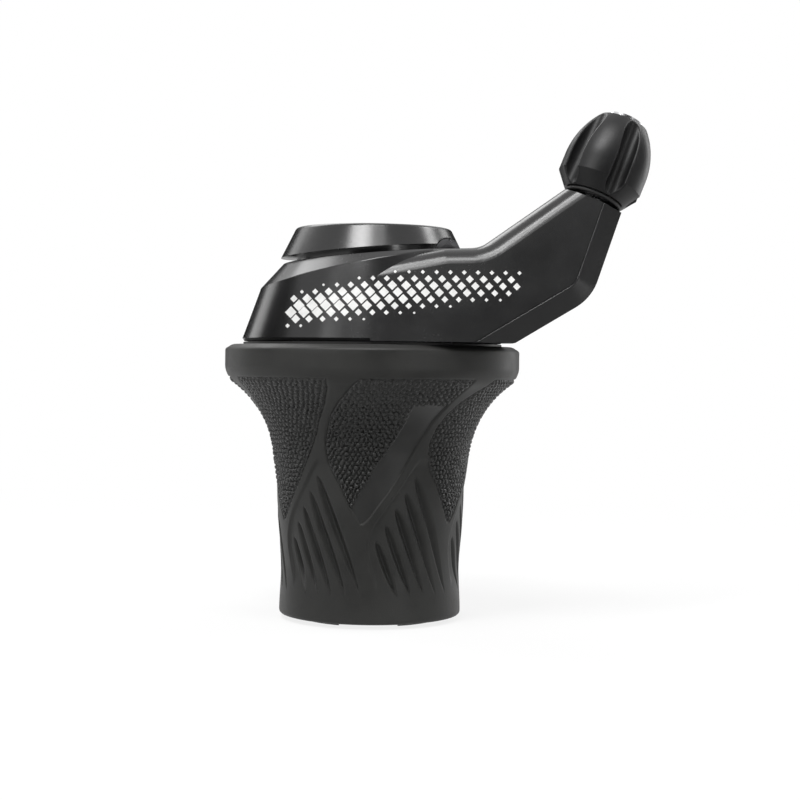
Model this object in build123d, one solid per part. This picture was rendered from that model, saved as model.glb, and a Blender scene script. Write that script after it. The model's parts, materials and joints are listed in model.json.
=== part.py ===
"""Twist grip shifter for a 22.2 mm handlebar, right-hand side.

Frame, in mm: the origin is on the bar axis at the outboard end, +Z runs along the bar
towards the inboard clamp, +X towards the horn and -Y towards the rider's view of it.
"""
import os
from math import cos, degrees, radians, sin

from build123d import *

# Fits
RUN_CLEARANCE = 0.05
FACE_GAP = 0.1
SIDE_GAP = 0.2
WIPER_GAP = 0.15

# Handlebar and fixed tube
BAR_DIAMETER = 22.2
BAR_CLEARANCE = 0.05
BORE_R = BAR_DIAMETER / 2 + BAR_CLEARANCE
TUBE_WALL = 1.25
TUBE_R = BORE_R + TUBE_WALL
JAW_COUNT = 3
JAW_GAP_ANGLE = 48.0
JAW_DEPTH = 0.9
RING_GROOVE = 0.5
RING_SEAT_R = TUBE_R - RING_GROOVE
RING_R = TUBE_R + 1.2
RING_Z = 1.3
RING_T = 0.7
RING_TOP_Z = RING_Z + RING_T

# Barrel of the twist grip
BUSH_WALL = 0.75
BUSH_SEAT_R = TUBE_R + RUN_CLEARANCE + BUSH_WALL
BUSH_LENGTH = 6.2
CORE_WALL = 1.0
CORE_R = BUSH_SEAT_R + CORE_WALL
CORE_BORE_R = TUBE_R + 0.5
WASHER_T = 0.45
CORE_BOTTOM_Z = RING_TOP_Z + RUN_CLEARANCE + WASHER_T + FACE_GAP

# Heights of the rubber flange, spool and index ring
FLANGE_TOP_Z = 48.2
WIPER_T = 0.4
HOUSING_Z = FLANGE_TOP_Z + WIPER_T + WIPER_GAP
SPOOL_Z = HOUSING_Z + 0.65
SPOOL_HEIGHT = 4.2
SPOOL_TOP_Z = SPOOL_Z + SPOOL_HEIGHT
CABLE_Z = SPOOL_Z + SPOOL_HEIGHT / 2
INDEX_Z = SPOOL_TOP_Z + SIDE_GAP
INDEX_T = 2.4
INDEX_TOP_Z = INDEX_Z + INDEX_T
TUBE_FLANGE_Z = INDEX_TOP_Z + 1.4
TUBE_FLANGE_T = 2.4
TUBE_TOP_Z = TUBE_FLANGE_Z + TUBE_FLANGE_T
CORE_TOP_Z = TUBE_FLANGE_Z - FACE_GAP

# Indexing and cable
GEARS = 11
CABLE_PULL = 3.48
CABLE_R = 0.6
SPOOL_FLOOR = 1.2
SPOOL_CABLE_R = CORE_R + SPOOL_FLOOR + CABLE_R
SPOOL_R = SPOOL_CABLE_R + 1.9
CLICK_ANGLE = degrees(CABLE_PULL / SPOOL_CABLE_R)
INDEX_WALL = 2.4
INDEX_R = CORE_R + INDEX_WALL
SPRING_ANGLE = 150.0
SPRING_ARC = 55.0
SPRING_LIFT = 0.95
SPRING_R = INDEX_R + SPRING_LIFT
SPRING_T = 0.35
TUBE_FLANGE_R = INDEX_R + 0.3

# Housing
HOUSING_WALL = 2.0
HOUSING_SLOPE = 0.359
SPRING_ROOM = 0.21
CAVITY_TOP_R = SPRING_R + SPRING_T + SPRING_ROOM
CAVITY_TOP_Z = TUBE_FLANGE_Z - FACE_GAP
HOUSING_R = CAVITY_TOP_R + HOUSING_WALL + HOUSING_SLOPE * (CAVITY_TOP_Z - HOUSING_Z)
ROOF_T = 3.8
ROOF_Z = TUBE_TOP_Z + ROOF_T
ROOF_SLOPE = 0.084
ROOF_HOLE_R = BORE_R + 2.75
SHOULDER_TILT = 11.6
SHOULDER_SLOPE = 1.363
SHOULDER_R = 18.66
SHOULDER_ORIGIN = (-1.4, 0.0, ROOF_Z - 1.76)
RIM_ROUND = 0.4

# Rubber of the twist grip
HEM_Z = 0.7
RUBBER_WALL = 1.9
HEM_R = CORE_R + RUBBER_WALL
HEM_EDGE = 0.6
CORE_FLANGE_R = HOUSING_R + 0.65
FLANGE_R = CORE_FLANGE_R + 2.2
FLANGE_EDGE = 1.4
RUBBER_LIP_R = HOUSING_R - 2.35
WIPER_R = HOUSING_R - 0.35
BROW_Z = FLANGE_TOP_Z - 6.7
BROW_R = FLANGE_R - 1.6
FLARE_Z = FLANGE_TOP_Z - 18.2
FLARE_FOOT_R = HEM_R + 1.4
FLARE_R = 17.6
WAIST_Z = 9.0
CORE_FLARE_Z = 26.5
CORE_FLANGE_Z = FLANGE_TOP_Z - 4.4
CORE_SEAT_Z = FLANGE_TOP_Z - 1.4
CORE_LIP_Z = FLANGE_TOP_Z - 0.6
CORE_LIP_WALL = 1.3

# Relief of the rubber: panels as (angle, share of the panel's height)
REPEATS = 6
PANEL_DEPTH = 0.3
PANEL_FOOT_Z = 17.8
PANEL_HEAD_Z = FLANGE_TOP_Z - 5.8
PANEL_RIGHT = ((44.0, 1.0), (31.0, 0.622), (13.5, 0.252), (-5.0, 0.0))
PANEL_LEFT = ((-5.0, 0.0), (-18.5, 0.272), (-25.8, 0.52), (-17.5, 0.797), (-4.0, 1.0))
FLUTES = 5
FLUTE_DEPTH = 0.75
FLUTE_WIDTH = 1.35
FLUTE_FOOT_Z = 5.4
FLUTE_HEAD_Z = 14.6
FLUTE_STEP_Z = 2.75

# Horn and adjuster axis
NECK_REACH = 14.35
NECK_FRONT = 9.6
NECK_RISE = 9.5
NECK = Vector(HOUSING_R + NECK_REACH, -NECK_FRONT, ROOF_Z + NECK_RISE)
NECK_R = 5.25
NECK_ROUND_R = 14.0
HORN_LEAN = 21.8
HORN_BACK = 8.0
HORN_DIR = Vector(
    sin(radians(HORN_LEAN)) * cos(radians(HORN_BACK)),
    sin(radians(HORN_BACK)),
    cos(radians(HORN_LEAN)) * cos(radians(HORN_BACK)),
)
ADJUSTER = Plane(origin=NECK, x_dir=(0, 1, 0), z_dir=HORN_DIR)
HORN_FOOT_X = HOUSING_R + 0.85
BEND_REACH = 13.75
BEND_RISE = 7.75
HORN_BEND = Vector(HOUSING_R + BEND_REACH, HOUSING_Z + BEND_RISE)
HOLLOW_X = 18.2
HOLLOW_RISE = 1.0
HORN_HOLLOW = Vector(HOLLOW_X, ROOF_Z + HOLLOW_RISE)
HORN_FRONT = HOUSING_R - 0.02
HORN_BACK_Y = 9.0
HORN_BACK_LEAN = 0.187
BEND_ROUND = 9.0
HOLLOW_ROUND = 5.0
FACET = 3.6
CREASE_ROUND = 0.5
UNDER_ROUND = 3.0
CREST_ROUND = 4.2

# Barrel adjuster, measured along its axis from the neck of the horn
KNOB_GAP = 0.8
KNOB_R = 7.4
KNOB_FOOT_R = 5.4
KNOB_CHAMFER = 2.6
KNOB_BARREL = 5.4
KNOB_TOP = 14.9
KNOB_TOP_R = 4.3
KNOB_LOBES = 5
KNOB_FLUTE_R = 1.5
KNOB_FLUTE_SINK = 0.35
KNOB_FLUTE_TILT = 4.0
KNOB_FLUTE_ANGLE = 52.5
KNOB_ROUND = 0.3
STEM_R = 2.5
STEM_LENGTH = 8.0
STEM_TOP = 5.4
CABLE_HOLE_R = 1.0
INSERT_R = STEM_R + RUN_CLEARANCE + 0.95
INSERT_SINK = 0.7
FERRULE_R = 2.5
SOCKET_R = FERRULE_R + 0.05
STOP_R = SOCKET_R + 0.55
STOP_TOP = KNOB_TOP + 0.8
STOP_FLOOR = 1.0
O_RING_R = 4.75
O_RING_SECTION = 0.33

# Clamp collar
COLLAR_HEIGHT = 5.1
COLLAR_TOP_Z = ROOF_Z + COLLAR_HEIGHT
COLLAR_TOP_R = BORE_R + 2.55
COLLAR_SLOPE = 0.5
COLLAR_ROUND = 0.8
COLLAR_GAP = 1.05
SPIGOT_R = ROOF_HOLE_R - 0.3
SPLIT = 1.2
BOSS_R = 3.0
BOSS_HALF = 5.6
BOLT_X = BORE_R + 1.85
BOLT_Z = ROOF_Z + 1.2
BOLT_R = 1.25
BOLT_HEAD_R = 2.0
BOLT_HEAD_T = 2.0
BOLT_SEAT_Y = 3.6
BOLT_SOCKET_R = 1.15

# Small screws of the fixed assembly
SCREW_R = 0.7
SCREW_HEAD_R = 1.4
SCREW_HEAD_T = 1.2
SCREW_CLEARANCE = 0.05
HOUSING_SCREW_R = (TUBE_R + TUBE_FLANGE_R) / 2 + 0.35
HOUSING_SCREW_ANGLES = (70, 190, 310)
HOUSING_SCREW_TOP = TUBE_TOP_Z + 1.9
COLLAR_SCREW_R = BORE_R + 1.25
COLLAR_SCREW_FOOT = TUBE_FLANGE_Z + 0.8
COLLAR_HEAD_R = 1.05
COLLAR_HEAD_SINK = 0.3


def ring(r_in, r_out, z0, z1):
    """Plain ring about the bar axis."""
    return extrude(Plane.XY.offset(z0) * (Circle(r_out) - Circle(r_in)), z1 - z0)


def spin(points):
    """Solid of revolution about the bar axis from (radius, height) corners."""
    return revolve(Plane.XZ * make_face(Polyline(*points, close=True)), Axis.Z)


def polar(radius, angle, height=0.0):
    """Point at a radius and an angle in degrees from +X."""
    return (radius * cos(radians(angle)), radius * sin(radians(angle)), height)


def sleeve_outline(inset=0.0):
    """Outer edge of the rubber from the flange down to the hem, moved in by inset."""
    corners = (
        (FLANGE_R - FLANGE_EDGE, FLANGE_TOP_Z),
        (FLANGE_R, FLANGE_TOP_Z - 0.8),
        (FLANGE_R, BROW_Z + 3.5),
        (BROW_R, BROW_Z),
        (FLARE_FOOT_R, FLARE_Z),
        (HEM_R - 0.25, WAIST_Z),
        (HEM_R, HEM_Z + HEM_EDGE),
        (HEM_R - HEM_EDGE, HEM_Z),
    )
    p = [Vector(r - inset, z) for r, z in corners]
    brow = Vector(FLANGE_R - 0.3 - inset, BROW_Z + 1.7)
    middle = Vector(HEM_R + 0.52 - inset, (WAIST_Z + FLARE_Z) / 2)
    return [
        Line(p[0], p[1]),
        Line(p[1], p[2]),
        ThreePointArc(p[2], brow, p[3]),
        ThreePointArc(p[3], flare_middle() - Vector(inset, 0), p[4]),
        Spline(p[4], middle, p[5], p[6], tangents=((-0.1, -1), (0, -1))),
        Line(p[6], p[7]),
    ]


def flare_centre():
    """Centre of the flare's arc, outside the rubber, as (radius, height)."""
    foot = Vector(FLARE_FOOT_R, FLARE_Z)
    half = (Vector(BROW_R, BROW_Z) - foot) / 2
    out = (FLARE_R**2 - half.length**2) ** 0.5
    return foot + half + half.normalized().rotate(Axis.Z, -90) * out


def flare_middle():
    """Point half way along the flare's arc."""
    centre = flare_centre()
    chord = (Vector(FLARE_FOOT_R, FLARE_Z) + Vector(BROW_R, BROW_Z)) / 2
    return centre + (chord - centre).normalized() * FLARE_R


def sleeve_core_points():
    """Seam between rubber and core: straight barrel, flare and flange."""
    shoulder = (CORE_FLANGE_R - 1.7, CORE_FLANGE_Z - 1.6)
    middle = (CORE_R + 2.2, (CORE_FLARE_Z + CORE_FLANGE_Z) / 2 + 0.25)
    return [
        Line((CORE_R, HEM_Z), (CORE_R, CORE_FLARE_Z)),
        ThreePointArc((CORE_R, CORE_FLARE_Z), middle, shoulder),
        Line(shoulder, (CORE_FLANGE_R, CORE_FLANGE_Z)),
        Line((CORE_FLANGE_R, CORE_FLANGE_Z), (CORE_FLANGE_R, CORE_SEAT_Z)),
        Line((CORE_FLANGE_R, CORE_SEAT_Z), (RUBBER_LIP_R, CORE_SEAT_Z)),
        Line((RUBBER_LIP_R, CORE_SEAT_Z), (RUBBER_LIP_R, FLANGE_TOP_Z)),
    ]


def sleeve_blank():
    """Rubber before its relief is cut."""
    top = Line((RUBBER_LIP_R, FLANGE_TOP_Z), (FLANGE_R - FLANGE_EDGE, FLANGE_TOP_Z))
    foot = Line((HEM_R - HEM_EDGE, HEM_Z), (CORE_R, HEM_Z))
    face = make_face(sleeve_core_points() + [top] + sleeve_outline() + [foot])
    return revolve(Plane.XZ * face, Axis.Z)


def sleeve_inset(depth):
    """Solid that fills the rubber's outline moved in by a depth."""
    edges = sleeve_outline(depth)
    top = Line((0, FLANGE_TOP_Z), (FLANGE_R - FLANGE_EDGE - depth, FLANGE_TOP_Z))
    foot = Line((HEM_R - HEM_EDGE - depth, HEM_Z), (0, HEM_Z))
    axis = Line((0, HEM_Z), (0, FLANGE_TOP_Z))
    return revolve(Plane.XZ * make_face([top] + edges + [foot, axis]), Axis.Z)


def sleeve_radius(height):
    """Radius of the rubber at a height: straight taper below, flare above."""
    if height < FLARE_Z:
        taper = (FLARE_FOOT_R - HEM_R + 0.2) / (FLARE_Z - WAIST_Z)
        return HEM_R - 0.2 + taper * max(height - WAIST_Z, 0.0)
    centre = flare_centre()
    return centre.X - (FLARE_R**2 - (height - centre.Y) ** 2) ** 0.5


def front_point(angle, height, facing):
    """Point of the rubber seen square on from the facing angle."""
    return (sleeve_radius(height) * sin(radians(angle - facing)), height)


def relief_cutter(face, facing, floor):
    """Cut from outside down to the floor, turned to the facing angle."""
    block = extrude(Plane.XZ * face, 2 * FLANGE_R) - floor
    return block.rotate(Axis.Z, facing)


def panel_edge(points, facing):
    """Side of a panel through its (angle, share of height) points."""
    span = PANEL_HEAD_Z - PANEL_FOOT_Z
    return Spline(*[front_point(a, PANEL_FOOT_Z + share * span, facing) for a, share in points])


def panel_cutter(floor):
    """One grained panel: a curved triangle that hangs from the flange."""
    facing = 9.0
    right = panel_edge(PANEL_RIGHT, facing)
    left = panel_edge(PANEL_LEFT, facing)
    top = Line(left @ 1, right @ 0)
    return relief_cutter(make_face([right, left, top]), facing, floor)


def flute_cutter(index, floor):
    """One slanted flute: a lens that starts on the rib and ends at the hem."""
    high = (4.5 + 5.8 * index, FLUTE_HEAD_Z + FLUTE_STEP_Z * index)
    low = (17.9 + 9.45 * index, FLUTE_FOOT_Z)
    width = FLUTE_WIDTH + 0.12 * index
    facing = (high[0] + low[0]) / 2
    a = Vector(*front_point(*high, facing))
    b = Vector(*front_point(*low, facing))
    side = (b - a).normalized().rotate(Axis.Z, 90) * (width / 2)
    middle = a * 0.55 + b * 0.45
    lens = [ThreePointArc(a, middle + side, b), ThreePointArc(b, middle - side, a)]
    return relief_cutter(make_face(lens), facing, floor)


def make_grip_sleeve():
    """Rubber with six grained panels and six fans of flutes."""
    panel_floor = sleeve_inset(PANEL_DEPTH)
    flute_floor = sleeve_inset(FLUTE_DEPTH)
    cutters = [panel_cutter(panel_floor)]
    cutters += [flute_cutter(i, flute_floor) for i in range(FLUTES)]
    pitch = 360 / REPEATS
    turned = [c.rotate(Axis.Z, n * pitch) for n in range(REPEATS) for c in cutters]
    return sleeve_blank() - turned


def make_grip_core():
    """Stiff barrel with the flare that backs the rubber flange."""
    seam = sleeve_core_points()[1:5]
    lip_r = RUBBER_LIP_R - CORE_LIP_WALL
    neck = (CORE_R, CORE_FLARE_Z + 6.5)
    lip = Polyline(
        (RUBBER_LIP_R, CORE_SEAT_Z), (RUBBER_LIP_R, CORE_LIP_Z), (lip_r, CORE_LIP_Z), (lip_r, CORE_FLANGE_Z)
    )
    middle = (CORE_R + 2.0, (neck[1] + CORE_FLANGE_Z) / 2 + 0.6)
    inside = ThreePointArc((lip_r, CORE_FLANGE_Z), middle, neck)
    upper_seat_z = CORE_TOP_Z - BUSH_LENGTH - FACE_GAP
    lower_seat_z = CORE_BOTTOM_Z + BUSH_LENGTH + FACE_GAP
    barrel = Polyline(
        neck,
        (CORE_R, CORE_TOP_Z),
        (BUSH_SEAT_R, CORE_TOP_Z),
        (BUSH_SEAT_R, upper_seat_z),
        (CORE_BORE_R, upper_seat_z),
        (CORE_BORE_R, lower_seat_z),
        (BUSH_SEAT_R, lower_seat_z),
        (BUSH_SEAT_R, CORE_BOTTOM_Z),
        (CORE_R, CORE_BOTTOM_Z),
        (CORE_R, CORE_FLARE_Z),
    )
    return revolve(Plane.XZ * make_face(seam + [lip, inside, barrel]), Axis.Z)


def bush(z0):
    """Plain bearing pressed into the core."""
    return ring(TUBE_R + RUN_CLEARANCE, BUSH_SEAT_R, z0, z0 + BUSH_LENGTH)


def make_outboard_bush():
    """Bearing at the outboard end of the core."""
    return bush(CORE_BOTTOM_Z + FACE_GAP)


def make_inboard_bush():
    """Bearing at the inboard end of the core."""
    return bush(CORE_TOP_Z - BUSH_LENGTH - FACE_GAP)


def make_flange_washer():
    """Thin dark ring on the rubber flange that wipes the foot of the housing."""
    return ring(RUBBER_LIP_R, WIPER_R, FLANGE_TOP_Z, HOUSING_Z - WIPER_GAP)


def make_cable_spool():
    """Grooved ring with a pocket for the cable head."""
    groove_r = SPOOL_CABLE_R - CABLE_R
    web = 1.1
    body = spin(
        (
            (CORE_R, SPOOL_Z),
            (SPOOL_R, SPOOL_Z),
            (SPOOL_R, SPOOL_Z + web),
            (groove_r, SPOOL_Z + web + 0.4),
            (groove_r, SPOOL_TOP_Z - web - 0.4),
            (SPOOL_R, SPOOL_TOP_Z - web),
            (SPOOL_R, SPOOL_TOP_Z),
            (CORE_R, SPOOL_TOP_Z),
        )
    )
    pocket = Pos(*polar(SPOOL_CABLE_R + 0.4, 100, CABLE_Z)) * Cylinder(1.2, 3.0)
    return body - pocket


def notch_angle(gear):
    """Angle of a detent notch with the grip at rest."""
    return SPRING_ANGLE + gear * CLICK_ANGLE


def make_index_ring():
    """Steel ring with one notch for each gear."""
    body = ring(CORE_R, INDEX_R, INDEX_Z, INDEX_TOP_Z)
    middle = (INDEX_Z + INDEX_TOP_Z) / 2
    tool = Cylinder(1.0, 5.0)
    cuts = [Pos(*polar(INDEX_R + 0.4, notch_angle(g), middle)) * tool for g in range(GEARS)]
    return body - cuts


def sector(r_in, r_out, start, end):
    """Flat curved strip about the bar axis between two angles."""
    middle = (start + end) / 2
    edges = [
        ThreePointArc(polar(r_in, start), polar(r_in, middle), polar(r_in, end)),
        Line(polar(r_in, end), polar(r_out, end)),
        ThreePointArc(polar(r_out, end), polar(r_out, middle), polar(r_out, start)),
        Line(polar(r_out, start), polar(r_in, start)),
    ]
    return make_face(edges)


def make_detent_spring():
    """Leaf spring with a round nose in the first notch."""
    z0 = INDEX_Z + SIDE_GAP
    height = INDEX_TOP_Z - SIDE_GAP - z0
    start = SPRING_ANGLE - 4.0
    strip = sector(SPRING_R, SPRING_R + SPRING_T, start, start + SPRING_ARC)
    leaf = extrude(Plane.XY.offset(z0) * strip, height)
    nose = Pos(*polar(INDEX_R + 0.5, SPRING_ANGLE, z0 + height / 2)) * Cylinder(0.75, height)
    return leaf + nose


def make_inner_tube():
    """Fixed tube with jaw teeth, ring groove and the flange under the roof."""
    body = ring(BORE_R, TUBE_R, 0, TUBE_TOP_Z)
    body += ring(TUBE_R - 0.2, TUBE_FLANGE_R, TUBE_FLANGE_Z, TUBE_TOP_Z)
    body -= ring(RING_SEAT_R, TUBE_R + 1, RING_Z - FACE_GAP / 2, RING_TOP_Z + FACE_GAP / 2)
    gap_width = 2 * TUBE_R * sin(radians(JAW_GAP_ANGLE / 2))
    slot = Pos(0, -TUBE_R, JAW_DEPTH / 2) * Box(gap_width, 2 * TUBE_R, JAW_DEPTH)
    body -= [slot.rotate(Axis.Z, n * 360 / JAW_COUNT) for n in range(JAW_COUNT)]
    body -= [housing_screw(angle, SCREW_CLEARANCE) for angle in HOUSING_SCREW_ANGLES]
    return body - collar_screw(SCREW_CLEARANCE)


def post(radius, z0, z1):
    """Upright round post at the origin."""
    return extrude(Plane.XY.offset(z0) * Circle(radius), z1 - z0)


def housing_screw(angle, gap=0.0):
    """Screw from below through the tube flange into the roof, or its hole."""
    head = post(SCREW_HEAD_R + gap, TUBE_FLANGE_Z, TUBE_FLANGE_Z + SCREW_HEAD_T)
    shank = post(SCREW_R + gap, TUBE_FLANGE_Z, HOUSING_SCREW_TOP)
    return Pos(*polar(HOUSING_SCREW_R, angle)) * (head + shank)


def make_housing_screws():
    """Three screws with cross slots in their heads."""
    slot = Box(0.4, 1.8, 1.0) + Box(1.8, 0.4, 1.0)
    screws = []
    for angle in HOUSING_SCREW_ANGLES:
        cross = Pos(*polar(HOUSING_SCREW_R, angle, TUBE_FLANGE_Z)) * slot
        screws.append(housing_screw(angle) - cross)
    return Compound(children=screws)


def collar_screw(gap=0.0):
    """Screw from the top of the collar into the fixed tube, or its hole."""
    top = COLLAR_TOP_Z - COLLAR_HEAD_SINK
    head = post(COLLAR_HEAD_R + gap, top - SCREW_HEAD_T, top + (2.0 if gap else 0.0))
    shank = post(SCREW_R + gap, COLLAR_SCREW_FOOT, top)
    return Pos(-COLLAR_SCREW_R, 0, 0) * (head + shank)


def make_collar_screw():
    """Collar screw with a cross slot."""
    slot = Box(0.35, 1.4, 1.0) + Box(1.4, 0.35, 1.0)
    return collar_screw() - Pos(-COLLAR_SCREW_R, 0, COLLAR_TOP_Z - COLLAR_HEAD_SINK) * slot


def make_retaining_ring():
    """Open ring that snaps into the groove of the fixed tube."""
    body = ring(RING_SEAT_R + RUN_CLEARANCE, RING_R, RING_Z, RING_TOP_Z)
    return body - Pos(0, RING_R, RING_Z) * Box(5.0, 6.0, 4.0)


def make_thrust_washer():
    """Washer between the retaining ring and the core."""
    return ring(TUBE_R + RUN_CLEARANCE, RING_R, RING_TOP_Z + RUN_CLEARANCE, CORE_BOTTOM_Z - FACE_GAP)


def roof_height(x):
    """Height of the sloping roof."""
    return ROOF_Z + ROOF_SLOPE * x


def below_roof(lift=0.0):
    """Everything under the sloping roof plane, lifted by an amount."""
    reach = 2 * NECK.X
    low = roof_height(-reach) + lift
    high = roof_height(reach) + lift
    face = make_face(Polyline((-reach, 0), (reach, 0), (reach, high), (-reach, low), close=True))
    return extrude(Plane.XZ * face, reach, both=True)


def drum_blank():
    """Outer drum: a cone under a tilted shoulder cone and a sloping roof."""
    high = 20.0
    cone = spin(
        (
            (0, HOUSING_Z),
            (HOUSING_R - 0.5, HOUSING_Z),
            (HOUSING_R - HOUSING_SLOPE * 0.5, HOUSING_Z + 0.5),
            (HOUSING_R - HOUSING_SLOPE * high, HOUSING_Z + high),
            (0, HOUSING_Z + high),
        )
    )
    tilt = radians(SHOULDER_TILT)
    frame = Plane(SHOULDER_ORIGIN, x_dir=(cos(tilt), 0, sin(tilt)), z_dir=(-sin(tilt), 0, cos(tilt)))
    low = -26.0
    top = 8.0
    shoulder = spin(
        (
            (0, low),
            (SHOULDER_R - SHOULDER_SLOPE * low, low),
            (SHOULDER_R - SHOULDER_SLOPE * top, top),
            (0, top),
        )
    )
    shoulder = frame * shoulder.rotate(Axis.Z, 90)
    body = cone & shoulder & below_roof()
    rims = [e for e in body.edges() if (e @ 0.5).Z > HOUSING_Z + 2 and e.geom_type != GeomType.LINE]
    return fillet(rims, RIM_ROUND)


def horn_blank():
    """Horn: side outline crossed with a leaning slab and rounded to the neck."""
    across = Vector(cos(radians(HORN_LEAN)), -sin(radians(HORN_LEAN)))
    neck = Vector(NECK.X, NECK.Z)
    outline = Polyline(
        (0, HOUSING_Z),
        (HORN_FOOT_X, HOUSING_Z),
        HORN_BEND,
        neck + across * NECK_R,
        neck - across * NECK_R,
        HORN_HOLLOW,
        (12.0, roof_height(12.0) - 0.2),
        (0, ROOF_Z - 1.7),
        close=True,
    )
    face = make_face(outline)
    face = fillet(face.vertices().sort_by_distance(HORN_BEND)[0], BEND_ROUND)
    face = fillet(face.vertices().sort_by_distance(HORN_HOLLOW)[0], HOLLOW_ROUND)
    side = extrude(Plane.XZ * face, 40)
    rise = 30.0
    slab = make_face(
        Polyline(
            (-HORN_FRONT, HOUSING_Z),
            (-HORN_FRONT + HOUSING_SLOPE * rise, HOUSING_Z + rise),
            (-HORN_BACK_Y + HORN_BACK_LEAN * rise, HOUSING_Z + rise),
            (-HORN_BACK_Y, HOUSING_Z),
            close=True,
        )
    )
    body = side & extrude(Plane.YZ * slab, 60)
    body = chamfer(horn_edges(body, front=True, under=True), FACET)
    body = fillet(horn_edges(body, front=True, under=True), CREASE_ROUND)
    body = fillet(horn_edges(body, front=True, under=False), CREST_ROUND)
    body = fillet(horn_edges(body, front=False, under=True), UNDER_ROUND)
    body = fillet(horn_edges(body, front=False, under=False), CREST_ROUND)
    depth = (NECK_ROUND_R**2 - NECK_R**2) ** 0.5
    reach = 60.0
    crown = Pos(0, 0, -depth) * Sphere(NECK_ROUND_R) - post(NECK_ROUND_R, 0, NECK_ROUND_R)
    below = spin(((0, -reach), (reach, -reach), (reach, -depth), (0, -depth)))
    return body & (ADJUSTER * (crown + below))


def horn_edges(body, front, under):
    """Long edges of the horn: on its front or back, under it or on top."""
    chosen = []
    face = body.faces().filter_by(GeomType.PLANE)
    face = [f for f in face if (f.normal_at().Y < -0.8) == front and abs(f.normal_at().Y) > 0.8]
    for edge in max(face, key=lambda f: f.area).edges():
        middle = edge @ 0.5
        is_under = middle.Z < HOUSING_Z + 5.75 + 1.2 * (middle.X - HORN_FOOT_X)
        is_top = middle.Z > HORN_HOLLOW.Y - 4.8 and middle.X > 1.0 and not is_under
        at_neck = (middle - NECK).dot(HORN_DIR) > -1.0
        if at_neck or (middle.X < HORN_FOOT_X and middle.Z < HORN_HOLLOW.Y - 4.8):
            continue
        if is_under == under and (under or is_top):
            chosen.append(edge)
    return chosen


def rod(start, end, radius):
    """Round bar between two points."""
    way = Vector(*end) - Vector(*start)
    return Plane(origin=start, z_dir=way) * post(radius, 0, way.length)


def make_housing():
    """Drum with horn, hollow inside, with spring boss, bores and cable channel."""
    body = drum_blank() + horn_blank()
    seat_r = TUBE_FLANGE_R + SIDE_GAP
    body -= spin(
        (
            (0, HOUSING_Z - 1),
            (HOUSING_R - HOUSING_WALL + HOUSING_SLOPE, HOUSING_Z - 1),
            (CAVITY_TOP_R, CAVITY_TOP_Z),
            (seat_r, CAVITY_TOP_Z),
            (seat_r, TUBE_TOP_Z),
            (0, TUBE_TOP_Z),
        )
    )
    body -= post(ROOF_HOLE_R, TUBE_TOP_Z - 1, COLLAR_TOP_Z)
    anchor = SPRING_ANGLE - 4.0 + SPRING_ARC
    boss = sector(SPRING_R - 0.55, CAVITY_TOP_R + 1.09, anchor - 9, anchor + 3)
    boss = extrude(Plane.XY.offset(INDEX_Z + FACE_GAP) * boss, CAVITY_TOP_Z - INDEX_Z)
    slot = sector(SPRING_R - 0.05, SPRING_R + SPRING_T + 0.05, anchor - 12, anchor + 0.3)
    boss -= extrude(Plane.XY.offset(INDEX_Z) * slot, INDEX_TOP_Z - INDEX_Z)
    body += boss
    body -= Pos(BOLT_X, 0, BOLT_Z) * Rot(90, 0, 0) * Cylinder(BOSS_R + 0.3, 2 * BOSS_HALF + 0.8)
    body -= [housing_screw(angle, SCREW_CLEARANCE) for angle in HOUSING_SCREW_ANGLES]
    body -= ADJUSTER * post(INSERT_R, -STEM_LENGTH - 0.6, 1)
    return body - rod(NECK - HORN_DIR * STEM_LENGTH, (5.0, -SPOOL_CABLE_R, CABLE_Z), 1.4)


def make_clamp_collar():
    """Split tapered ring with a boss for the pinch bolt and a spigot in the roof."""
    low_z = TUBE_TOP_Z - 2.0
    foot_r = COLLAR_TOP_R + COLLAR_SLOPE * (COLLAR_TOP_Z - low_z)
    cone = spin(((0, low_z), (foot_r, low_z), (COLLAR_TOP_R, COLLAR_TOP_Z), (0, COLLAR_TOP_Z)))
    cone = fillet(cone.edges().group_by(Axis.Z)[-1], COLLAR_ROUND)
    boss = Pos(BOLT_X, 0, BOLT_Z) * Rot(90, 0, 0) * Cylinder(BOSS_R, 2 * BOSS_HALF)
    body = cone - below_roof(COLLAR_GAP)
    body += post(SPIGOT_R, TUBE_TOP_Z, COLLAR_TOP_Z - 1)
    body += boss & cone
    body -= post(BORE_R, low_z, COLLAR_TOP_Z + 1)
    gap = Plane.XY.offset(low_z) * Pos(2 * BORE_R, 0) * Rectangle(3 * BORE_R, SPLIT)
    body -= extrude(gap, COLLAR_TOP_Z - low_z + 1)
    body -= bolt_way(BOLT_R + SCREW_CLEARANCE, -20, 20)
    body -= bolt_way(BOLT_HEAD_R + 0.1, -20, -BOLT_SEAT_Y)
    body -= bolt_way(BOLT_HEAD_R + 0.1, BOLT_SEAT_Y, 20)
    return body - collar_screw(SCREW_CLEARANCE)


def bolt_way(radius, y0, y1):
    """Round bar along the pinch bolt between two depths."""
    return rod((BOLT_X, y0, BOLT_Z), (BOLT_X, y1, BOLT_Z), radius)


def make_clamp_bolt():
    """Pinch bolt with a hexagon socket that faces the rider."""
    head_y = -BOLT_SEAT_Y - BOLT_HEAD_T
    body = bolt_way(BOLT_HEAD_R, head_y, -BOLT_SEAT_Y)
    body += bolt_way(BOLT_R, -BOLT_SEAT_Y, BOLT_SEAT_Y + BOLT_HEAD_T)
    socket = Plane((BOLT_X, head_y, BOLT_Z), z_dir=(0, 1, 0)) * RegularPolygon(BOLT_SOCKET_R, 6)
    return body - extrude(socket, 1.2)


def make_clamp_nut():
    """Threaded barrel for the pinch bolt."""
    body = bolt_way(BOLT_HEAD_R, BOLT_SEAT_Y, BOLT_SEAT_Y + BOLT_HEAD_T)
    return body - bolt_way(BOLT_R + SCREW_CLEARANCE, 0, 20)


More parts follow.
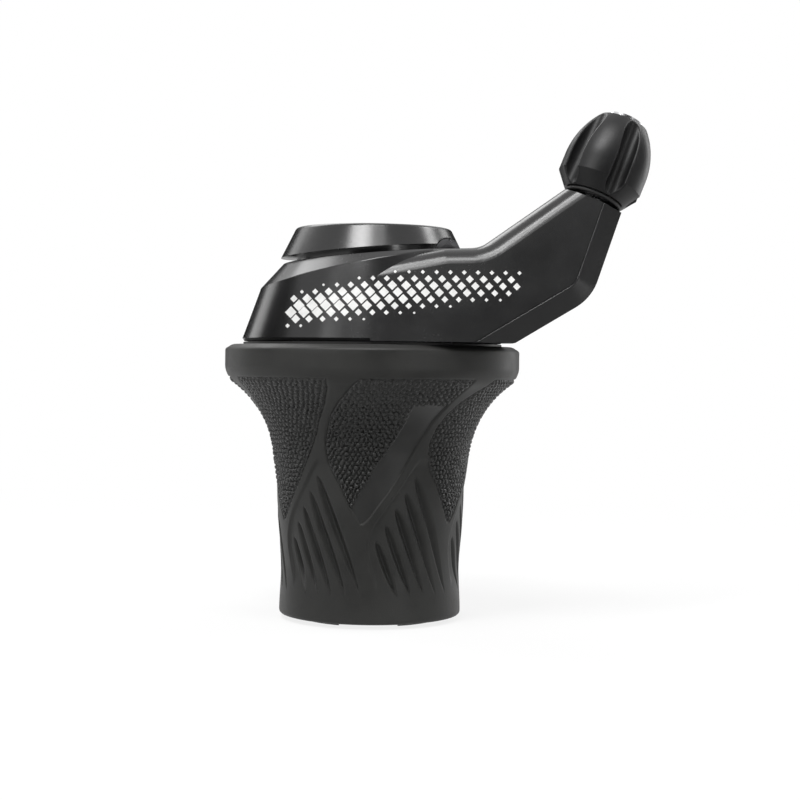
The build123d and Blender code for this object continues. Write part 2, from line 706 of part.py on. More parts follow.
def make_adjuster_knob():
    """Domed knob with five lobes between deep flutes, bored for the stem and the cable stop."""
    waist = KNOB_GAP + KNOB_CHAMFER
    shoulder = (KNOB_R, waist + KNOB_BARREL - KNOB_CHAMFER)
    dome = TangentArc(shoulder, (KNOB_TOP_R, KNOB_TOP), tangent=(0, 1))
    side = Polyline(
        (KNOB_TOP_R, KNOB_TOP),
        (0, KNOB_TOP),
        (0, KNOB_GAP),
        (KNOB_FOOT_R, KNOB_GAP),
        (KNOB_R, waist),
        shoulder,
    )
    body = revolve(Plane.XZ * make_face([dome, side]), Axis.Z)
    pitch = 360 / KNOB_LOBES
    flute = Rot(0, -KNOB_FLUTE_TILT, 0) * post(KNOB_FLUTE_R, -2, 2 * KNOB_TOP)
    flute = Pos(KNOB_R - KNOB_FLUTE_SINK, 0, 0) * flute
    body -= [flute.rotate(Axis.Z, KNOB_FLUTE_ANGLE + n * pitch) for n in range(KNOB_LOBES)]
    lips = [e for e in body.edges().filter_by(GeomType.BSPLINE) if e.length > KNOB_FLUTE_R]
    body = fillet(lips, KNOB_ROUND)
    body -= post(STEM_R, 0, KNOB_TOP + 1)
    body -= post(STOP_R + RUN_CLEARANCE, STEM_TOP, KNOB_TOP + 1)
    return ADJUSTER * body


def make_adjuster_stem():
    """Stem with the cable hole."""
    body = post(STEM_R, -STEM_LENGTH, STEM_TOP) - post(CABLE_HOLE_R, -STEM_LENGTH - 1, STEM_TOP + 1)
    return ADJUSTER * body


def make_adjuster_insert():
    """Threaded insert moulded into the neck, just below its face."""
    body = post(INSERT_R, -STEM_LENGTH, -INSERT_SINK)
    return ADJUSTER * (body - post(STEM_R + RUN_CLEARANCE, -STEM_LENGTH - 1, 1))


def make_adjuster_o_ring():
    """Friction ring between the knob and the neck."""
    return ADJUSTER * (Pos(0, 0, KNOB_GAP - O_RING_SECTION) * Torus(O_RING_R, O_RING_SECTION))


def make_cable_stop():
    """Metal socket for the end of the cable housing."""
    floor = STEM_TOP + FACE_GAP
    body = post(STOP_R, floor, STOP_TOP)
    body -= post(SOCKET_R, floor + STOP_FLOOR, STOP_TOP + 1)
    body -= post(CABLE_HOLE_R, floor - 1, STOP_TOP)
    return ADJUSTER * body


PARTS = {
    "inner_tube": make_inner_tube,
    "housing": make_housing,
    "housing_screws": make_housing_screws,
    "clamp_collar": make_clamp_collar,
    "collar_screw": make_collar_screw,
    "clamp_bolt": make_clamp_bolt,
    "clamp_nut": make_clamp_nut,
    "detent_spring": make_detent_spring,
    "retaining_ring": make_retaining_ring,
    "thrust_washer": make_thrust_washer,
    "adjuster_insert": make_adjuster_insert,
    "grip_sleeve": make_grip_sleeve,
    "grip_core": make_grip_core,
    "outboard_bush": make_outboard_bush,
    "inboard_bush": make_inboard_bush,
    "flange_washer": make_flange_washer,
    "cable_spool": make_cable_spool,
    "index_ring": make_index_ring,
    "cable_stop": make_cable_stop,
    "adjuster_knob": make_adjuster_knob,
    "adjuster_stem": make_adjuster_stem,
    "adjuster_o_ring": make_adjuster_o_ring,
}

if __name__ == "__main__":
    os.makedirs("parts", exist_ok=True)
    for name, make in PARTS.items():
        export_step(make(), f"parts/{name}.step")
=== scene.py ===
"""Looks of a twist grip shifter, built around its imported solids.

The solids are in metres with the bar axis along +Z. The rubber gets its moulded relief and
grain, the drum its printed field, and every node its own finish.
"""

from __future__ import annotations

import json
import logging
import math
from collections.abc import Callable
from dataclasses import dataclass
from enum import Enum

import bpy
import numpy as np
from mathutils import Matrix, Vector


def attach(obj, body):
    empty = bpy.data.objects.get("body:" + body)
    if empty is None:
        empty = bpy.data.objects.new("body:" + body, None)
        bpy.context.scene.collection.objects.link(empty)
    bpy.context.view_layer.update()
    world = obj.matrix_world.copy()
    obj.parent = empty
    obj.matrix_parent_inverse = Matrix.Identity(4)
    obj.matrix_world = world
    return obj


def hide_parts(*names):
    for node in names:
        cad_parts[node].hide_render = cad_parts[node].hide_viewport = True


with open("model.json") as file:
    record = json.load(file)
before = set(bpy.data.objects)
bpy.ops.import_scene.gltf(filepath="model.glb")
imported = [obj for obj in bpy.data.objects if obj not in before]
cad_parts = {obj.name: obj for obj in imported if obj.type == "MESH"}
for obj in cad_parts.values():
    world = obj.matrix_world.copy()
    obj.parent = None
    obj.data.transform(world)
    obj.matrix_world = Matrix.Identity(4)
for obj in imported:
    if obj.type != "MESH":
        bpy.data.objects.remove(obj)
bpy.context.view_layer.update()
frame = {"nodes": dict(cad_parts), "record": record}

MM = 0.001
LOG = logging.getLogger("shifter")
Color = tuple[float, float, float]
Point = tuple[float, float, float]
Pair = tuple[float, float]
Outline = tuple[Pair, ...]
Section = list[Pair]
RISE: Pair = (0.0, 1.0)
FALL: Pair = (1.0, 0.0)
MIDDLE: Point = (8.0, 0.0, 50.0)


class Body(Enum):
    """Bodies that the new pieces ride on."""

    FIXED = "fixed"
    TWIST = "twist"


class Slot(Enum):
    """Material slots of the record."""

    GRIP_RUBBER = "grip_rubber"
    GLOSS_BLACK = "gloss_black"
    SATIN_BLACK = "satin_black"
    BLACK_PLASTIC = "black_plastic"
    PALE_PLASTIC = "pale_plastic"
    SEAL_RUBBER = "seal_rubber"
    STEEL = "steel"
    SILVER = "silver"
    BRASS = "brass"


def deselect_all() -> None:
    """Leave edit mode and select nothing."""
    if bpy.context.object is not None and bpy.context.object.mode != "OBJECT":
        bpy.ops.object.mode_set(mode="OBJECT")
    bpy.ops.object.select_all(action="DESELECT")


def activate(obj: bpy.types.Object) -> None:
    """Make one object the selected and active one.

    Args:
        obj: the object.
    """
    deselect_all()
    obj.select_set(True)
    bpy.context.view_layer.objects.active = obj


def apply_modifiers(obj: bpy.types.Object) -> None:
    """Apply all modifiers of an object, first to last.

    Args:
        obj: mesh object.
    """
    activate(obj)
    for name in [m.name for m in obj.modifiers]:
        bpy.ops.object.modifier_apply(modifier=name)


def read_points(obj: bpy.types.Object) -> np.ndarray:
    """Vertices of an object as rows of x, y, z in metres.

    Args:
        obj: mesh object.

    Returns:
        One row for each vertex.
    """
    flat = np.empty(len(obj.data.vertices) * 3, np.float64)
    obj.data.vertices.foreach_get("co", flat)
    return flat.reshape(-1, 3)


def write_points(obj: bpy.types.Object, points: np.ndarray) -> None:
    """Put new vertex places into an object."""
    obj.data.vertices.foreach_set("co", np.ascontiguousarray(points, np.float32).ravel())
    obj.data.update()


def close_and_orient(obj: bpy.types.Object, merge: float) -> None:
    """Merge doubles and turn all faces outwards.

    Args:
        obj: mesh object.
        merge: largest distance of two vertices that become one, in metres.
    """
    activate(obj)
    bpy.ops.object.mode_set(mode="EDIT")
    bpy.ops.mesh.select_all(action="SELECT")
    bpy.ops.mesh.remove_doubles(threshold=merge)
    bpy.ops.mesh.normals_make_consistent(inside=False)
    bpy.ops.object.mode_set(mode="OBJECT")


def smooth_by_angle(obj: bpy.types.Object, angle: float) -> None:
    """Shade an object smooth up to an edge angle in degrees."""
    activate(obj)
    bpy.ops.object.shade_smooth_by_angle(angle=math.radians(angle))


def smooth_step(value: np.ndarray) -> np.ndarray:
    """Ease from 0 to 1 for values from 0 to 1."""
    t = np.clip(value, 0.0, 1.0)
    return t * t * (3.0 - 2.0 * t)


def face_point(obj: bpy.types.Object, place: Point, aim: Point) -> None:
    """Turn a lamp or a card so that its lower side faces a point.

    Args:
        obj: the lamp or card.
        place: its centre in mm.
        aim: the point in mm.
    """
    way = Vector(aim) - Vector(place)
    obj.rotation_euler = way.to_track_quat("-Z", "Y").to_euler()


class Wiring:
    """Adds nodes to a shader tree and joins them."""

    def __init__(self, tree: bpy.types.NodeTree) -> None:
        """Keep the tree that is wired."""
        self.tree = tree

    def node(self, kind: str, **values: object) -> bpy.types.Node:
        """Add a node and set its properties.

        Args:
            kind: Blender's name of the node type.
            values: properties of the node.

        Returns:
            The new node.
        """
        new = self.tree.nodes.new(kind)
        for key, value in values.items():
            setattr(new, key, value)
        return new

    def join(self, source: bpy.types.NodeSocket, target: bpy.types.NodeSocket) -> None:
        """Link an output to an input."""
        self.tree.links.new(source, target)

    def feed(self, value: bpy.types.NodeSocket | float, target: bpy.types.NodeSocket) -> None:
        """Link a socket to an input, or set the input to a number.

        Args:
            value: a socket or a number.
            target: the input.
        """
        if isinstance(value, bpy.types.NodeSocket):
            self.join(value, target)
        else:
            target.default_value = value

    def math(
        self, operation: str, first: bpy.types.NodeSocket | float, second: bpy.types.NodeSocket | float
    ) -> bpy.types.NodeSocket:
        """Add a Math node.

        Args:
            operation: name of the operation.
            first: a socket or a number.
            second: a socket or a number.

        Returns:
            The result's socket.
        """
        new = self.node("ShaderNodeMath", operation=operation)
        self.feed(first, new.inputs[0])
        self.feed(second, new.inputs[1])
        return new.outputs[0]

    def noise(
        self, vector: bpy.types.NodeSocket, scale: bpy.types.NodeSocket | float, detail: float
    ) -> bpy.types.NodeSocket:
        """Add a noise texture.

        Args:
            vector: socket of the coordinates.
            scale: a socket or a number of waves in a metre.
            detail: number of finer layers.

        Returns:
            The value's socket.
        """
        new = self.node("ShaderNodeTexNoise")
        new.inputs["Detail"].default_value = detail
        self.join(vector, new.inputs["Vector"])
        self.feed(scale, new.inputs["Scale"])
        return new.outputs["Fac"]

    def spread(self, value: bpy.types.NodeSocket, read: Pair, give: Pair) -> bpy.types.NodeSocket:
        """Map a value from one range to another, clamped.

        Args:
            value: socket of the value.
            read: start and end of the range that is read.
            give: results at its start and its end.

        Returns:
            The result's socket.
        """
        new = self.node("ShaderNodeMapRange", clamp=True)
        self.join(value, new.inputs["Value"])
        for name, limit in zip(("From Min", "From Max", "To Min", "To Max"), (*read, *give)):
            new.inputs[name].default_value = limit
        return new.outputs["Result"]

    def mix(self, factor: bpy.types.NodeSocket, first: Color, second: Color) -> bpy.types.NodeSocket:
        """Mix two colours by a socket's value.

        Args:
            factor: socket of the share of the second colour.
            first: colour at 0.
            second: colour at 1.

        Returns:
            The colour's socket.
        """
        new = self.node("ShaderNodeMix", data_type="RGBA")
        self.join(factor, new.inputs["Factor"])
        new.inputs["A"].default_value = (*first, 1.0)
        new.inputs["B"].default_value = (*second, 1.0)
        return new.outputs["Result"]


def start_group(
    name: str, inputs: dict[str, str], outputs: dict[str, str]
) -> tuple[Wiring, bpy.types.Node, bpy.types.Node]:
    """Begin a shader node group with named sockets.

    Args:
        name: name of the group.
        inputs: socket types by name.
        outputs: socket types by name.

    Returns:
        The wiring and the group's input and output nodes.
    """
    tree = bpy.data.node_groups.new(name, "ShaderNodeTree")
    for label, kind in inputs.items():
        tree.interface.new_socket(label, in_out="INPUT", socket_type=kind)
    for label, kind in outputs.items():
        tree.interface.new_socket(label, in_out="OUTPUT", socket_type=kind)
    wires = Wiring(tree)
    return wires, wires.node("NodeGroupInput"), wires.node("NodeGroupOutput")


class SurfaceGroups:
    """Shader node groups that several finishes share; waves and cells count in a metre."""

    FLOAT = "NodeSocketFloat"
    VECTOR = "NodeSocketVector"
    COARSE_WAVES = 0.31
    FINE_PART = 0.6
    COARSE_PART = 0.4
    MOTTLE_BAND = (0.34, 0.68)
    HAIRLINE_TURNS = ((0.3, 0.9, 0.4), (1.2, -0.3, 0.8))
    HAIRLINE_SQUEEZES = (0.05, 0.04)
    HAIRLINE_WAVES = 3200.0
    HAIRLINE_BAND = (0.66, 0.74)
    SPECK_CELLS = 900.0
    SPECK_BAND = (0.05, 0.1)
    DUST_WAVES = 160.0
    DUST_BAND = (0.5, 0.68)
    LATHE_SQUEEZE = (0.04, 0.04, 1.0)
    CLOUD_WAVES = 400.0
    CLOUD_BAND = (0.3, 0.7)

    def __init__(self) -> None:
        """Build each group once."""
        self.mould = self.mould_texture()
        self.marks = self.handling_marks()
        self.turned = self.turning_lines()

    def mould_texture(self) -> bpy.types.NodeTree:
        """Fine moulded grain with a soft mottle.

        Returns:
            Group with outputs Height and Tone.
        """
        wires, start, end = start_group(
            "mould_texture",
            {"Vector": self.VECTOR, "Grain": self.FLOAT, "Mottle": self.FLOAT},
            {"Height": self.FLOAT, "Tone": self.FLOAT},
        )
        place = start.outputs["Vector"]
        grain = start.outputs["Grain"]
        fine = wires.noise(place, grain, 2.0)
        coarse = wires.noise(place, wires.math("MULTIPLY", grain, self.COARSE_WAVES), 3.0)
        height = wires.math(
            "ADD",
            wires.math("MULTIPLY", fine, self.FINE_PART),
            wires.math("MULTIPLY", coarse, self.COARSE_PART),
        )
        wires.join(height, end.inputs["Height"])
        soft = wires.noise(place, start.outputs["Mottle"], 5.0)
        wires.join(wires.spread(soft, self.MOTTLE_BAND, RISE), end.inputs["Tone"])
        return wires.tree

    def handling_marks(self) -> bpy.types.NodeTree:
        """Fine hairline marks and specks of dust.

        Returns:
            Group with outputs Hairline and Dust.
        """
        wires, start, end = start_group(
            "handling_marks",
            {"Vector": self.VECTOR},
            {"Hairline": self.FLOAT, "Dust": self.FLOAT},
        )
        place = start.outputs["Vector"]
        lines = []
        for turn, squeeze in zip(self.HAIRLINE_TURNS, self.HAIRLINE_SQUEEZES):
            mapping = wires.node("ShaderNodeMapping")
            mapping.inputs["Rotation"].default_value = turn
            mapping.inputs["Scale"].default_value = (1.0, squeeze, 1.0)
            wires.join(place, mapping.inputs["Vector"])
            noise = wires.noise(mapping.outputs["Vector"], self.HAIRLINE_WAVES, 1.0)
            lines.append(wires.spread(noise, self.HAIRLINE_BAND, RISE))
        wires.join(wires.math("MAXIMUM", *lines), end.inputs["Hairline"])
        cells = wires.node("ShaderNodeTexVoronoi")
        cells.inputs["Scale"].default_value = self.SPECK_CELLS
        wires.join(place, cells.inputs["Vector"])
        specks = wires.spread(cells.outputs["Distance"], self.SPECK_BAND, FALL)
        thin = wires.spread(wires.noise(place, self.DUST_WAVES, 3.0), self.DUST_BAND, RISE)
        wires.join(wires.math("MULTIPLY", specks, thin), end.inputs["Dust"])
        return wires.tree

    def turning_lines(self) -> bpy.types.NodeTree:
        """Fine lines that a lathe leaves along an axis.

        Returns:
            Group with outputs Height and Tone.
        """
        wires, start, end = start_group(
            "turning_lines",
            {"Vector": self.VECTOR, "Lines": self.FLOAT},
            {"Height": self.FLOAT, "Tone": self.FLOAT},
        )
        place = start.outputs["Vector"]
        flat = wires.node("ShaderNodeMapping")
        flat.inputs["Scale"].default_value = self.LATHE_SQUEEZE
        wires.join(place, flat.inputs["Vector"])
        lines = wires.noise(flat.outputs["Vector"], start.outputs["Lines"], 4.0)
        wires.join(lines, end.inputs["Height"])
        cloud = wires.noise(place, self.CLOUD_WAVES, 3.0)
        wires.join(wires.spread(cloud, self.CLOUD_BAND, RISE), end.inputs["Tone"])
        return wires.tree


GROUPS = SurfaceGroups()


def use_group(wires: Wiring, tree: bpy.types.NodeTree, **values: float) -> bpy.types.Node:
    """Place a shared group in a material, on object coordinates.

    Args:
        wires: wiring of the material.
        tree: the group.
        values: numbers for its inputs.

    Returns:
        The group's node.
    """
    new = wires.node("ShaderNodeGroup", node_tree=tree)
    for name, value in values.items():
        new.inputs[name].default_value = value
    place = wires.node("ShaderNodeTexCoord")
    wires.join(place.outputs["Object"], new.inputs["Vector"])
    return new


def start_material(name: str) -> tuple[bpy.types.Material, Wiring, bpy.types.Node]:
    """Begin a node material.

    Args:
        name: name of the material.

    Returns:
        The material, its wiring and its Principled shader.
    """
    material = bpy.data.materials.new(name)
    material.use_nodes = True
    wires = Wiring(material.node_tree)
    wires.tree.nodes.clear()
    shader = wires.node("ShaderNodeBsdfPrincipled")
    output = wires.node("ShaderNodeOutputMaterial")
    wires.join(shader.outputs["BSDF"], output.inputs["Surface"])
    return material, wires, shader


def add_bump(
    wires: Wiring, shader: bpy.types.Node, height: bpy.types.NodeSocket, depth: float
) -> None:
    """Let a height drive the shader's normal.

    Args:
        wires: wiring of the material.
        shader: Principled shader.
        height: socket of the height, 0 to 1.
        depth: height of the grain in metres.
    """
    bump = wires.node("ShaderNodeBump")
    bump.inputs["Strength"].default_value = 1.0
    bump.inputs["Distance"].default_value = depth
    wires.join(height, bump.inputs["Height"])
    wires.join(bump.outputs["Normal"], shader.inputs["Normal"])


@dataclass(frozen=True)
class MouldedFinish:
    """Moulded rubber or plastic with grain, mottle and marks of handling; depths in metres."""

    TONE_PART = 0.8

    name: str
    color: Color
    pale: Color
    rough: float
    specular: float
    grain: float
    grain_depth: float
    rough_spread: float = 0.05
    mottle: float = 220.0
    dust: float = 0.0
    hairline: float = 0.0

    def material(self) -> bpy.types.Material:
        """Build the material.

        Returns:
            The new material.
        """
        material, wires, shader = start_material(self.name)
        mould = use_group(wires, GROUPS.mould, Grain=self.grain, Mottle=self.mottle)
        marks = use_group(wires, GROUPS.marks)
        tone = wires.math("MULTIPLY", mould.outputs["Tone"], self.TONE_PART)
        dust = wires.math("MULTIPLY", marks.outputs["Dust"], self.dust)
        color = wires.mix(wires.math("ADD", tone, dust), self.color, self.pale)
        wires.join(color, shader.inputs["Base Color"])
        limits = (self.rough - self.rough_spread, self.rough + self.rough_spread)
        rough = wires.spread(mould.outputs["Tone"], RISE, limits)
        lines = wires.math("MULTIPLY", marks.outputs["Hairline"], self.hairline)
        wires.join(wires.math("ADD", rough, lines), shader.inputs["Roughness"])
        shader.inputs["Specular IOR Level"].default_value = self.specular
        add_bump(wires, shader, mould.outputs["Height"], self.grain_depth)
        return material


@dataclass(frozen=True)
class MetalFinish:
    """Turned or pressed metal; depths in metres."""

    ROUGH_SPREAD = 0.06
    HAIRLINE = 0.15

    name: str
    color: Color
    dull: Color
    rough: float
    lines: float
    depth: float

    def material(self) -> bpy.types.Material:
        """Build the material.

        Returns:
            The new material.
        """
        material, wires, shader = start_material(self.name)
        turned = use_group(wires, GROUPS.turned, Lines=self.lines)
        marks = use_group(wires, GROUPS.marks)
        color = wires.mix(turned.outputs["Tone"], self.color, self.dull)
        wires.join(color, shader.inputs["Base Color"])
        limits = (self.rough - self.ROUGH_SPREAD, self.rough + self.ROUGH_SPREAD)
        rough = wires.spread(turned.outputs["Tone"], RISE, limits)
        lines = wires.math("MULTIPLY", marks.outputs["Hairline"], self.HAIRLINE)
        wires.join(wires.math("ADD", rough, lines), shader.inputs["Roughness"])
        shader.inputs["Metallic"].default_value = 1.0
        add_bump(wires, shader, turned.outputs["Height"], self.depth)
        return material


FINISHES: dict[Slot, MouldedFinish | MetalFinish] = {
    Slot.GRIP_RUBBER: MouldedFinish(
        "grip_rubber", color=(0.015, 0.015, 0.0141), pale=(0.022, 0.022, 0.0206),
        rough=0.5, specular=0.3, grain=5200.0, grain_depth=0.00003, dust=0.2,
    ),
    Slot.GLOSS_BLACK: MouldedFinish(
        "gloss_black", color=(0.008, 0.008, 0.0082), pale=(0.011, 0.011, 0.0112),
        rough=0.22, specular=0.5, grain=900.0, grain_depth=0.000003,
        rough_spread=0.03, mottle=90.0, dust=0.15, hairline=0.05,
    ),
    Slot.SATIN_BLACK: MouldedFinish(
        "satin_black", color=(0.007, 0.007, 0.0073), pale=(0.012, 0.012, 0.0123),
        rough=0.38, specular=0.26, grain=6500.0, grain_depth=0.000006,
        rough_spread=0.03, hairline=0.06,
    ),
    Slot.BLACK_PLASTIC: MouldedFinish(
        "black_plastic", color=(0.02, 0.02, 0.02), pale=(0.032, 0.032, 0.032),
        rough=0.5, specular=0.45, grain=4800.0, grain_depth=0.000016,
    ),
    Slot.PALE_PLASTIC: MouldedFinish(
        "pale_plastic", color=(0.62, 0.6, 0.53), pale=(0.74, 0.72, 0.66),
        rough=0.45, specular=0.5, grain=3600.0, grain_depth=0.00001,
    ),
    Slot.SEAL_RUBBER: MouldedFinish(
        "seal_rubber", color=(0.011, 0.011, 0.011), pale=(0.018, 0.018, 0.018),
        rough=0.55, specular=0.4, grain=4200.0, grain_depth=0.00001,
    ),
    Slot.STEEL: MetalFinish(
        "steel", color=(0.58, 0.58, 0.6), dull=(0.44, 0.44, 0.45), rough=0.3, lines=9000.0, depth=0.000004
    ),
    Slot.SILVER: MetalFinish(
        "silver", color=(0.66, 0.66, 0.67), dull=(0.48, 0.48, 0.49), rough=0.24, lines=7000.0, depth=0.000005
    ),
    Slot.BRASS: MetalFinish(
        "brass", color=(0.78, 0.58, 0.27), dull=(0.6, 0.43, 0.19), rough=0.33, lines=8000.0, depth=0.000004
    ),
}

# Grained panels: the grip's rubber with a darker base colour, which is painted shade that deepens the pebble
# valleys, and a lower roughness so that the pebbles catch the lamps.
GRAIN_FINISH_PAINTED_SHADE = MouldedFinish(
    "grip_grain", color=(0.01, 0.01, 0.0095), pale=(0.016, 0.016, 0.015),
    rough=0.4, specular=0.48, grain=5200.0, grain_depth=0.00002, dust=0.15,
)


@dataclass(frozen=True)
class InkFinish:
    """Printed ink: a thin pale layer with a fine mottle; depth in metres."""

    name: str = "white_ink"
    color: Color = (0.72, 0.72, 0.71)
    worn: Color = (0.6, 0.6, 0.59)
    rough: Pair = (0.3, 0.42)
    grain: float = 9000.0
    grain_depth: float = 0.000003
    mottle: float = 700.0

    def material(self) -> bpy.types.Material:
        """Build the material.

        Returns:
            The new material.
        """
        material, wires, shader = start_material(self.name)
        mould = use_group(wires, GROUPS.mould, Grain=self.grain, Mottle=self.mottle)
        tone = mould.outputs["Tone"]
        wires.join(wires.mix(tone, self.color, self.worn), shader.inputs["Base Color"])
        wires.join(wires.spread(tone, RISE, self.rough), shader.inputs["Roughness"])
        add_bump(wires, shader, mould.outputs["Height"], self.grain_depth)
        return material


class Finishes:
    """Builds each material once and puts it on objects."""

    def __init__(self) -> None:
        """Build the materials of all slots, the ink, and the grained panels' copy of the rubber, whose darker
        colour is painted shade.
        """
        self.by_slot = {slot: finish.material() for slot, finish in FINISHES.items()}
        self.ink = InkFinish().material()
        self.grain = GRAIN_FINISH_PAINTED_SHADE.material()

    def dress(self, obj: bpy.types.Object, slot: Slot) -> None:
        """Give an object the material of a slot."""
        obj.data.materials.clear()
        obj.data.materials.append(self.by_slot[slot])


@dataclass
class RubberGrip:
    """Twist grip's rubber: outline, moulded relief and grained panels, in mm and degrees.

    Outlines on the surface are points of (angle, height), sections are points of (radius, height).
    """

    finishes: Finishes
    hem_z: float = 0.7
    hem_r: float = 16.1
    hem_round: float = 0.6
    waist: float = 0.25
    core_r: float = 14.2
    core_mid_z: float = 14.0
    joint_z: float = 26.5
    flare_centre: Pair = (34.876, 27.305)
    flare_bend: float = 17.583
    flare_reach: float = 14.5
    flare_top: float = 42.6
    brow_centre: Pair = (21.94, 44.79)
    brow_bend: float = 4.176
    brow_z: float = 41.5
    brow_run: Pair = (42.9, 44.7)
    flange_r: float = 26.08
    flange_z: float = 48.2
    roof_mid_r: float = 23.0
    lip_r: float = 20.9
    lip_z: float = 46.8
    barrel_steps: int = 800
    barrel_rows: int = 102
    flare_steps: int = 480
    flare_rows: int = 66
    brow_rows: int = 7
    skin_merge: float = 0.002
    skin_angle: float = 50.0
    skin_reach: float = 0.02
    relief_foot: float = 2.0
    relief_head: float = 43.2
    repeats: int = 6

    panel_foot: float = 17.7
    panel_head: float = 42.5
    panel_foot_ease: float = 1.2
    panel_head_ease: float = 1.3
    panel_depth: float = 0.32
    panel_edge: float = 0.3
    strip_top: float = 38.2
    strip_lap: float = 0.1
    strip_edge: float = 0.3
    strip_top_edge: float = 0.4

    bed_depth: float = 0.4
    bed_edge: float = 0.6
    bed_shelf: float = 0.8
    bed_fade: float = 8.0
    bed_foot: float = 6.0
    bed_foot_fade: float = 4.0
    bed_head: float = 29.4
    bed_head_fade: float = 2.0

    flutes: int = 5
    flute_depth: float = 1.0
    flute_head: Pair = (4.5, 14.8)
    flute_head_step: Pair = (5.8, 2.75)
    flute_foot: Pair = (17.9, 5.4)
    flute_foot_step: Pair = (9.45, 0.0)
    flute_width: float = 2.2
    flute_width_step: float = 0.12
    flute_powers: Pair = (0.45, 0.8)
    flute_peak: float = 0.59
    flute_axis: float = 0.45
    flute_walls: Pair = (0.4, 0.62)
    flute_fill: float = 1.2

    grain_foot: float = 17.75
    grain_head: float = 42.45
    grain_run: Pair = (17.0, 43.0)
    grain_samples: int = 400
    grain_pitch: float = 0.93
    grain_height: float = 0.42
    grain_edge: float = 0.55
    grain_sink: float = 0.06
    grain_rise: float = 0.12
    grain_mean_r: float = 18.0
    grain_follow: float = 0.45
    grain_seed: int = 40
    grain_columns: int = 140
    grain_rows: int = 190
    grain_merge: float = 0.001
    grain_angle: float = 75.0
    grain_wall: float = 0.3
    grain_wall_keep: float = 0.54

    HEM_CORNER = ((0.3, 0.09), (0.09, 0.3))
    BARREL_Z = (1.3, 9.0, 19.5, 30.0)
    BARREL_SLOPES = (0.0, 0.0286, 0.0786, 0.13)
    NECK_R = (16.62, 17.5)
    RIM = ((0.0, 45.2), (0.0, 46.4), (0.0, 47.15), (0.08, 47.4), (0.3, 47.6))
    ROOF = ((1.1, 0.12), (1.5, 0.0))
    INSIDE = ((23.9, 46.8), (23.9, 43.8), (22.2, 42.2), (19.0, 39.4), (16.4, 35.4), (14.8, 31.0))
    PANEL_RIGHT = (
        (-5.5, 17.7), (-2.2, 18.0), (1.3, 19.1), (5.6, 20.9), (11.0, 23.0), (16.0, 25.2), (22.0, 28.3),
        (26.0, 30.4), (30.9, 33.1), (33.5, 35.0), (38.5, 37.6), (43.0, 40.7), (44.0, 42.5),
    )
    PANEL_LEFT = (
        (-5.5, 17.7), (-7.0, 18.3), (-11.9, 20.8), (-18.0, 24.5), (-22.2, 26.6), (-24.6, 28.4), (-25.8, 30.4),
        (-25.4, 32.0), (-23.3, 34.0), (-19.8, 36.4), (-15.0, 38.5), (-10.5, 40.0), (-4.0, 42.5),
    )
    STRIP_LEFT = (
        (-12.0, 19.0), (-9.3, 21.0), (-4.6, 23.8), (-0.2, 25.5), (4.2, 28.2), (9.6, 30.2),
        (14.7, 32.9), (18.0, 35.0), (20.3, 37.7), (21.0, 38.6),
    )
    CREASE = (
        (3.6, 7.5), (-0.2, 10.8), (-2.1, 13.2), (-1.6, 15.2), (2.5, 18.0), (10.0, 21.1),
        (17.5, 24.1), (23.5, 26.8), (29.0, 29.1),
    )
    TINY = 1e-6
    HEX_ROW = 0.866
    LATTICE_MARGIN = 2
    PEBBLE_JITTER = 0.27
    PEBBLE_SIZES = (0.85, 1.1)
    PEBBLE_GAP = 0.5
    PEBBLE_DROP = 0.9
    PEBBLE_FOOT = 0.45
    PEBBLE_DOME = 0.55
    FAR = 9.0

    def radius(self, z: np.ndarray) -> np.ndarray:
        """Radius of the rubber before its relief.

        Args:
            z: heights in mm.

        Returns:
            Radii in mm.
        """
        knots = np.array(self.BARREL_Z)
        radii = np.array([self.hem_r, self.hem_r - self.waist, *self.NECK_R])
        slopes = np.array(self.BARREL_SLOPES)
        z = np.asarray(z, float)
        low = np.clip(np.searchsorted(knots, z) - 1, 0, len(knots) - 2)
        span = knots[low + 1] - knots[low]
        t = np.clip((z - knots[low]) / span, 0.0, 1.0)
        barrel = (
            (2 * t**3 - 3 * t**2 + 1) * radii[low]
            + (t**3 - 2 * t**2 + t) * span * slopes[low]
            + (3 * t**2 - 2 * t**3) * radii[low + 1]
            + (t**3 - t**2) * span * slopes[low + 1]
        )
        rise = np.clip(z - self.flare_centre[1], 0.0, self.flare_reach)
        flare = self.flare_centre[0] - np.sqrt(self.flare_bend**2 - rise**2)
        drop = z - self.brow_centre[1]
        brow = self.brow_centre[0] + np.sqrt(np.clip(self.brow_bend**2 - drop**2, 0.0, None))
        upper = np.where(z < self.brow_z, flare, np.minimum(brow, self.flange_r))
        return np.where(z < knots[-1], barrel, upper)

    def side(self, low: float, high: float, rows: int) -> Section:
        """Outer edge of the rubber between two heights, as a row of points."""
        heights = np.linspace(low, high, rows)
        return [(float(r), float(z)) for r, z in zip(self.radius(heights), heights)]

    def barrel_outline(self) -> Section:
        """Closed section of the barrel with the flutes, from the hem up to the joint.

        Returns:
            Points of the section in mm.
        """
        hem = self.hem_z
        outside = self.side(hem + self.hem_round, self.joint_z, self.barrel_rows)
        inside = [(self.core_r, z) for z in (self.joint_z, self.core_mid_z, hem)]
        corner = [(self.hem_r - inset, hem + lift) for inset, lift in self.HEM_CORNER]
        return outside + inside + [(self.hem_r - self.hem_round, hem)] + corner

    def flare_outline(self) -> Section:
        """Closed section of the flare and the flange, from the joint up.

        Returns:
            Points of the section in mm.
        """
        top = self.flange_z
        out = self.flange_r
        neck = self.side(self.joint_z, self.flare_top, self.flare_rows)
        brow = self.side(*self.brow_run, self.brow_rows)
        rim = [(out - inset, z) for inset, z in self.RIM]
        roof = [(out - inset, top - drop) for inset, drop in self.ROOF]
        lip = [(self.roof_mid_r, top), (self.lip_r, top), (self.lip_r, self.lip_z)]
        return neck + brow + rim + roof + lip + [*self.INSIDE, (self.core_r, self.joint_z)]

